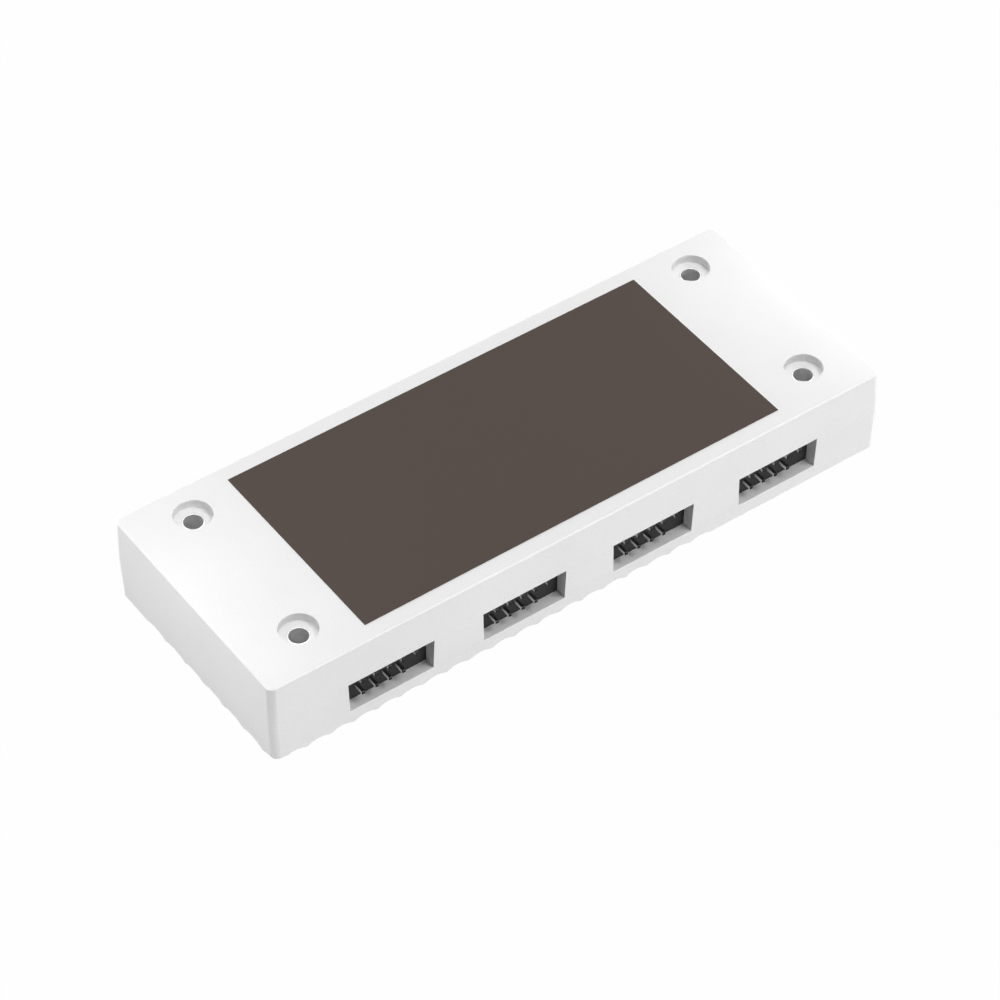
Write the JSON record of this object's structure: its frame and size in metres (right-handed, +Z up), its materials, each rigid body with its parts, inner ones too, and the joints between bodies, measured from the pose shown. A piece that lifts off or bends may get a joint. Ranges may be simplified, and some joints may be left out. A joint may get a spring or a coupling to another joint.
{
  "type": "internal usb hub",
  "caption": "Flat white plastic hub box for a computer case: a blank dark label on top, counterbored screw holes in the corners and keyed pin headers in windows along the front.",
  "frame": {"origin": "middle of the bottom face of the housing", "axes": "+X along the housing to the right as seen from the pin headers, +Y to the back where the two sockets are, +Z up through the label"},
  "size_m": [0.1204, 0.0454, 0.0167],
  "materials": {
    "shell_plastic": "fine moulded satin white",
    "label_film": "matt printed film, blank",
    "sleeve_steel": "zinc plated, satin",
    "board_laminate": "solder mask over laminate",
    "insulator_plastic": "moulded, dark grey",
    "tinned_pins": "tin plated",
    "gilt_contacts": "flash gold plated",
    "socket_plastic": "moulded, black",
    "bright_steel": "nickel plated",
    "package_epoxy": "moulded epoxy",
    "can_aluminium": "drawn",
    "fuse_resin": "green resin",
    "resistor_ceramic": "black glazed chip",
    "capacitor_ceramic": "tan chip"
  },
  "bodies": {
    "root": {"mounting_shell": "shell_plastic", "cover_shell": "shell_plastic", "label": "label_film", "screw_sleeves": "sleeve_steel", "circuit_board": "board_laminate", "header_housing_1": "insulator_plastic", "header_housing_2": "insulator_plastic", "header_housing_3": "insulator_plastic", "header_housing_4": "insulator_plastic", "header_pins_1": "tinned_pins", "header_pins_2": "tinned_pins", "header_pins_3": "tinned_pins", "header_pins_4": "tinned_pins", "power_socket": "socket_plastic", "power_contacts": "gilt_contacts", "upstream_shell": "bright_steel", "upstream_tongue": "socket_plastic", "upstream_contacts": "gilt_contacts", "hub_controller": "package_epoxy", "controller_leads": "tinned_pins", "crystal": "bright_steel", "regulator": "package_epoxy", "regulator_leads": "tinned_pins", "capacitor_cans": "can_aluminium", "capacitor_bases": "socket_plastic", "resettable_fuses": "fuse_resin", "surge_arrays": "package_epoxy", "resistors": "resistor_ceramic", "ceramic_capacitors": "capacitor_ceramic"}
  },
  "joints": []
}
